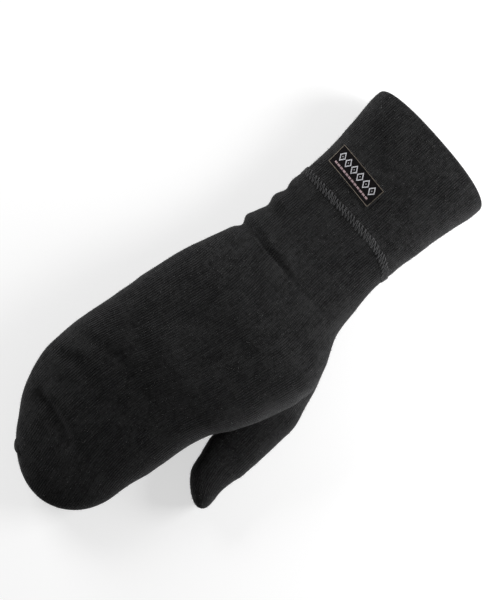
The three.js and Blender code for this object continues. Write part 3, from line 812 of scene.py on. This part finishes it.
class NodeChain:
    # Short calls that add shader nodes and link their inputs
    def __init__(self, name):
        self.material = bpy.data.materials.new(name)
        self.material.use_nodes = True
        self.tree = self.material.node_tree
        self.shader = self.tree.nodes["Principled BSDF"]

    def fill(self, node, inputs):
        # A socket is linked and a number or colour is set
        for key, value in inputs.items():
            if isinstance(value, bpy.types.NodeSocket):
                self.tree.links.new(value, node.inputs[key])
            else:
                node.inputs[key].default_value = value
        return node

    def node(self, kind, inputs, **settings):
        made = self.tree.nodes.new(kind)
        for key, value in settings.items():
            setattr(made, key, value)
        return self.fill(made, inputs).outputs

    def maths(self, operation, *values, clamp=False):
        inputs = dict(enumerate(values))
        return self.node("ShaderNodeMath", inputs, operation=operation, use_clamp=clamp)[0]

    def times(self, first, second):
        return self.maths("MULTIPLY", first, second)

    def apart(self, first, second):
        # |first - second|
        return self.maths("ABSOLUTE", self.maths("SUBTRACT", first, second))

    def wave(self, value, length=1.0):
        # cos(2 pi value / length)
        return self.maths("COSINE", self.times(value, 2 * math.pi / length))

    def stitchMap(self):
        # The stitch map, then its first and its second part
        stitch = self.node("ShaderNodeUVMap", {}, uv_map="stitches")[0]
        return stitch, *self.node("ShaderNodeSeparateXYZ", {0: stitch})[:2]

    def place(self):
        return self.node("ShaderNodeTexCoord", {})["Object"]

    def noise(self, vector, scale, detail=2.0, roughness=0.5):
        return self.node("ShaderNodeTexNoise", {"Vector": vector, "Scale": scale, "Detail": detail,
                                                "Roughness": roughness})["Fac"]

    def ramp(self, value, low, high, outLow, outHigh):
        return self.node("ShaderNodeMapRange", {"Value": value, "From Min": low, "From Max": high,
                                                "To Min": outLow, "To Max": outHigh})[0]

    def mixed(self, share, first, second):
        return self.node("ShaderNodeMix", {0: share, 6: first, 7: second}, data_type="RGBA")[2]

    def bump(self, height, distance, strength):
        return self.node("ShaderNodeBump", {"Height": height, "Distance": distance, "Strength": strength})[0]

    def finish(self, colour, roughness, sheen, sheenRoughness, specular, **others):
        self.fill(self.shader, {"Base Color": colour, "Roughness": roughness, "Sheen Weight": sheen,
                                "Sheen Roughness": sheenRoughness, "Specular IOR Level": specular, **others})
        return self.material


# Knit look. dark, light: the yarn with painted shade in its valleys, and the yarn on its crests; relief in
# metres
knitLook = {"dark": (0.0016, 0.0016, 0.0017, 1), "light": (0.0225, 0.0225, 0.0229, 1),
            "relief": 0.00045, "lean": 1.5, "specular": 0.06, "sheen": 0.22, "sheenRoughness": 0.45,
            "sheenTint": (0.42, 0.42, 0.43, 1)}
# The cuff's knit: the same yarn as the hand's, with its crests painted lighter as painted light on the cuff
cuffKnitPaintedLighterLook = {**knitLook, "light": (0.0256, 0.0256, 0.026, 1)}


def knitMaterial(name, look):
    # Stocking stitch on the stitch map: a column falls off as 1 - (2 aside)^1.8, less where the wool
    # is felted, and carries two legs, each striped on a slant to make a V
    chain = NodeChain(name)
    maths, times, noise, ramp = chain.maths, chain.times, chain.noise, chain.ramp
    stitch, column, row = chain.stitchMap()
    place = chain.place()
    column = maths("ADD", column, ramp(noise(place, 260), 0.3, 0.7, -0.1, 0.1))
    row = maths("ADD", row, ramp(noise(place, 190), 0.3, 0.7, -0.2, 0.2))
    aside = chain.apart(maths("FRACT", column), 0.5)
    groove = maths("POWER", times(aside, 2.0), 1.8)
    felted = ramp(noise(place, 48, 2, 0.55), 0.42, 0.58, 1.1, 0.3)
    wale = maths("SUBTRACT", 1.0, times(groove, felted), clamp=True)
    fromLeg = times(maths("SUBTRACT", aside, 0.22), 4.2)
    leg = maths("SUBTRACT", 1.0, times(fromLeg, fromLeg), clamp=True)
    stripe = chain.wave(maths("SUBTRACT", row, times(aside, look["lean"])))
    stripe = maths("MULTIPLY_ADD", stripe, 0.5, 0.5)
    yarn = maths("MULTIPLY_ADD", leg, maths("MULTIPLY_ADD", stripe, 0.35, 0.2), 0.45)
    fibre = noise(place, 2600, 3, 0.6)
    height = maths("MULTIPLY_ADD", fibre, 0.4, times(wale, yarn))
    broad = ramp(noise(place, 34), 0.34, 0.68, 0.9, 1.12)
    patches = ramp(noise(place, 120, 3, 0.65), 0.32, 0.68, 0.76, 1.27)
    flecks = ramp(noise(place, 430, 3, 0.65), 0.32, 0.7, 0.5, 1.6)
    columns = chain.node("ShaderNodeVectorMath", {0: stitch, 1: (0.8, 0.03, 0.0)}, operation="MULTIPLY")[0]
    streak = ramp(noise(columns, 1.0, 2, 0.6), 0.3, 0.7, 0.72, 1.3)
    speck = ramp(noise(place, 560), 0.62, 0.78, 0.0, 0.6)
    tone = times(times(patches, broad), times(flecks, streak))
    # Colour: painted shade in the valleys by the stitch height, times random tone, plus lighter specks
    share = maths("MULTIPLY_ADD", times(height, 0.85), tone, speck)
    others = {"Sheen Tint": look["sheenTint"], "Normal": chain.bump(height, look["relief"], 0.9)}
    return chain.finish(chain.mixed(share, look["dark"], look["light"]), ramp(fibre, 0.3, 0.7, 0.82, 0.98),
                        look["sheen"], look["sheenRoughness"], look["specular"], **others)


# Thread looks. dark, light: the thread with painted shade in its twist's grooves, and on its ridges; twist:
# turns of the strand for each mm
threadLook = {"dark": (0.012, 0.012, 0.0125, 1), "light": (0.088, 0.088, 0.09, 1), "twist": 1.1,
              "relief": 0.00008}
edgeThreadLook = {**threadLook, "dark": (0.008, 0.008, 0.009, 1), "light": (0.03, 0.03, 0.032, 1),
                  "twist": 2.0}


def threadMaterial(name, look):
    # Twisted thread: slanted stripes along the strand with fine fibres in them; the stripes' grooves carry
    # painted shade, and broad patches a random tone
    chain = NodeChain(name)
    _, along, around = chain.stitchMap()
    place = chain.place()
    stripe = chain.wave(chain.maths("MULTIPLY_ADD", along, look["twist"], chain.times(around, 2.0)))
    fibre = chain.noise(place, 3000, 3, 0.6)
    height = chain.maths("ADD", chain.maths("MULTIPLY_ADD", stripe, 0.3, 0.3), chain.times(fibre, 0.5))
    patches = chain.ramp(chain.noise(place, 240), 0.3, 0.7, 0.75, 1.25)
    colour = chain.mixed(chain.times(height, patches), look["dark"], look["light"])
    return chain.finish(colour, chain.ramp(fibre, 0.3, 0.7, 0.7, 0.92), 0.2, 0.5, 0.1,
                        Normal=chain.bump(height, look["relief"], 0.8))


# Label look. ground, groundLight: the black ground with painted shade in the weave's hollows, and on its
# crests. Its motif in mm: the diamonds' pitch and line, the rule's place, length and dashes
labelLook = {"ground": (0.004, 0.0035, 0.004, 1), "groundLight": (0.016, 0.0145, 0.0155, 1),
             "border": (0.26, 0.225, 0.18, 1), "pale": (0.66, 0.66, 0.70, 1), "rule": (0.50, 0.36, 0.38, 1),
             "inset": 0.6, "diamonds": 6, "pitch": 5.3, "halfWide": 2.5, "halfHigh": 3.5,
             "diamondLine": -1.35, "ruleLine": 3.75, "ruleHalf": 15.0, "dash": 2.5}


def labelMaterial(name, look):
    # Woven satin: fine ribs across, a border line, a row of diamonds and a dashed rule, all from
    # distances in mm on the label's own map
    chain = NodeChain(name)
    maths, times, apart, ramp = chain.maths, chain.times, chain.apart, chain.ramp
    _, u, v = chain.stitchMap()
    absU, absV = maths("ABSOLUTE", u), maths("ABSOLUTE", v)
    inside = maths("MINIMUM", maths("SUBTRACT", label["length"] / 2, absU),
                   maths("SUBTRACT", label["height"] / 2, absV))
    border = ramp(apart(inside, look["inset"]), 0.14, 0.24, 1, 0)
    part = maths("SUBTRACT", maths("FRACT", maths("DIVIDE", u, look["pitch"])), 0.5)
    sideways = maths("ABSOLUTE", times(part, look["pitch"]))
    upright = maths("ABSOLUTE", maths("ADD", v, -look["diamondLine"]))
    lozenge = maths("ADD", maths("DIVIDE", sideways, look["halfWide"]),
                    maths("DIVIDE", upright, look["halfHigh"]))
    outline = ramp(apart(lozenge, 0.8), 0.13, 0.18, 1, 0)
    kernel = ramp(lozenge, 0.1, 0.15, 1, 0)
    within = maths("LESS_THAN", absU, look["diamonds"] / 2 * look["pitch"] - 0.02)
    motif = times(maths("MAXIMUM", outline, kernel), within)
    dash = ramp(apart(maths("FRACT", maths("DIVIDE", u, look["dash"])), 0.5), 0.38, 0.42, 1, 0)
    rule = times(ramp(apart(v, look["ruleLine"]), 0.5, 0.66, 1, 0), dash)
    rule = times(rule, maths("LESS_THAN", absU, look["ruleHalf"]))
    weave = maths("MULTIPLY_ADD", times(chain.wave(u, 0.42), chain.wave(v, 0.3)), 0.5, 0.5)
    fray = chain.noise(chain.place(), 2200)
    # The ground: painted shade in the weave's hollows, times the fray noise's random tone
    ground = chain.mixed(times(weave, fray), look["ground"], look["groundLight"])
    figure = maths("MAXIMUM", motif, maths("MAXIMUM", border, rule))
    threads = chain.mixed(rule, chain.mixed(motif, look["border"], look["pale"]), look["rule"])
    # The figure's threads: painted shade in the weave's hollows, and random wear by the fray noise
    weaveShadeAndWear = maths("MULTIPLY_ADD", weave, 0.35, ramp(fray, 0.3, 0.7, 0.5, 0.75))
    colour = chain.mixed(times(figure, weaveShadeAndWear), ground, threads)
    height = maths("ADD", weave, times(figure, 1.4))
    return chain.finish(colour, ramp(fray, 0.3, 0.7, 0.68, 0.85), 0.04, 0.4, 0.03,
                        Normal=chain.bump(height, 0.00009, 0.8))


fuzzLook = {"dark": (0.01, 0.01, 0.0102, 1), "light": (0.038, 0.038, 0.0385, 1)}


def fuzzMaterial(name, look):
    # Single fibres: each takes its own grey from a broad noise
    chain = NodeChain(name)
    own = chain.noise(chain.place(), 700)
    colour = chain.mixed(chain.ramp(own, 0.3, 0.7, 0, 1), look["dark"], look["light"])
    return chain.finish(colour, chain.ramp(own, 0.3, 0.7, 0.75, 0.95), 0.3, 0.4, 0.3)


def paint(pieces, material):
    for piece in pieces:
        piece.data.materials.clear()
        piece.data.materials.append(material)


cloth = {}
for node, build in (("hand", buildHand), ("thumb", buildThumb), ("cuff", buildCuff)):
    cloth[node] = build()
    print(node + ":", len(cloth[node][0].data.polygons), "faces")
bandPiece = buildWristBand()
threadPiece = buildWristThread()
labelPiece = buildLabel()
labelStitches = buildLabelStitches()
nubPiece = buildTipSeam()
print("trim made")

fuzzPieces = []
for i, (node, slotName) in enumerate((("hand", "knit"), ("thumb", "knit"), ("cuff", "cuff_knit"))):
    fuzzPieces.append(buildFuzz(node + "Fuzz", *cloth[node][1:], fuzz[node], fuzz["seed"] + i, slotName))
print("fibres made")

paint([cloth["hand"][0], cloth["thumb"][0]], knitMaterial("fineKnit", knitLook))
paint([cloth["cuff"][0]], knitMaterial("cuffFineKnitPaintedLighter", cuffKnitPaintedLighterLook))
paint([bandPiece], knitMaterial("seamKnit", knitLook))
paint([threadPiece], threadMaterial("overlockThread", threadLook))
paint([labelPiece], labelMaterial("wovenLabel", labelLook))
paint([labelStitches], threadMaterial("labelThread", edgeThreadLook))
paint([nubPiece], knitMaterial("seamEndKnit", knitLook))
paint(fuzzPieces, fuzzMaterial("woolFibre", fuzzLook))
print("materials made")

# Stage: floor, lights and the camera straight above. Each light: direction, distance, size, power;
# cameraUp: the direction in plan that is up in the picture; metres and watts
stage = {"floorColour": (0.55, 0.55, 0.55, 1), "floorGlow": 0.6, "floorHalf": 4, "floorDrop": 0.0003,
         "worldStrength": 0.12, "keyLight": ((-0.64, -0.78, 0.31), 0.6, 0.36, 6.3),
         "sideLight": ((0.9, -0.1, 0.22), 1.2, 0.7, 18.5), "cameraPlace": (0.00938, -0.01133),
         "cameraUp": (0.743, -0.669), "cameraHeight": 1.3, "sensor": 24, "viewHeight": 0.358,
         "eyeLevel": 0.017}


def buildFloor():
    # A square, a hair below the mitten, with a little light of its own so that shadows stay faint
    mesh, half, low = bpy.data.meshes.new("floor"), stage["floorHalf"], -stage["floorDrop"]
    corners = [(-half, -half, low), (half, -half, low), (half, half, low), (-half, half, low)]
    mesh.from_pydata(corners, [], [(0, 1, 2, 3)])
    floor = placed("floor", mesh)
    chain = NodeChain("paleFloor")
    chain.fill(chain.shader, {"Base Color": stage["floorColour"], "Roughness": 0.9,
                              "Specular IOR Level": 0.2, "Emission Color": (1, 1, 1, 1),
                              "Emission Strength": stage["floorGlow"]})
    mesh.materials.append(chain.material)


def areaLight(name, direction, distance, size, power):
    # A square light that faces the middle of the mitten
    data = bpy.data.lights.new(name, "AREA")
    data.energy, data.size = power, size
    lamp = placed(name, data)
    ray = Vector(direction).normalized()
    lamp.location = ray * distance
    lamp.rotation_euler = ray.to_track_quat("Z", "Y").to_euler()


def buildStage():
    scene = bpy.context.scene
    buildFloor()
    world = bpy.data.worlds.new("paleRoom")
    world.use_nodes = True
    background = world.node_tree.nodes["Background"].inputs
    background[0].default_value = (1, 1, 1, 1)
    background[1].default_value = stage["worldStrength"]
    scene.world = world
    for name in ("keyLight", "sideLight"):
        areaLight(name, *stage[name])
    data = bpy.data.cameras.new("camera")
    data.sensor_fit, data.sensor_height = "VERTICAL", stage["sensor"]
    data.lens = stage["sensor"] * stage["cameraHeight"] / stage["viewHeight"]
    camera = placed("camera", data)
    (x, y), (upX, upY) = stage["cameraPlace"], stage["cameraUp"]
    camera.matrix_world = Matrix(((upY, upX, 0, x), (-upX, upY, 0, y),
                                  (0, 0, 1, stage["cameraHeight"] + stage["eyeLevel"]), (0, 0, 0, 1)))
    scene.camera = camera
    scene.view_settings.view_transform = "Standard"


buildStage()
print("stage made")
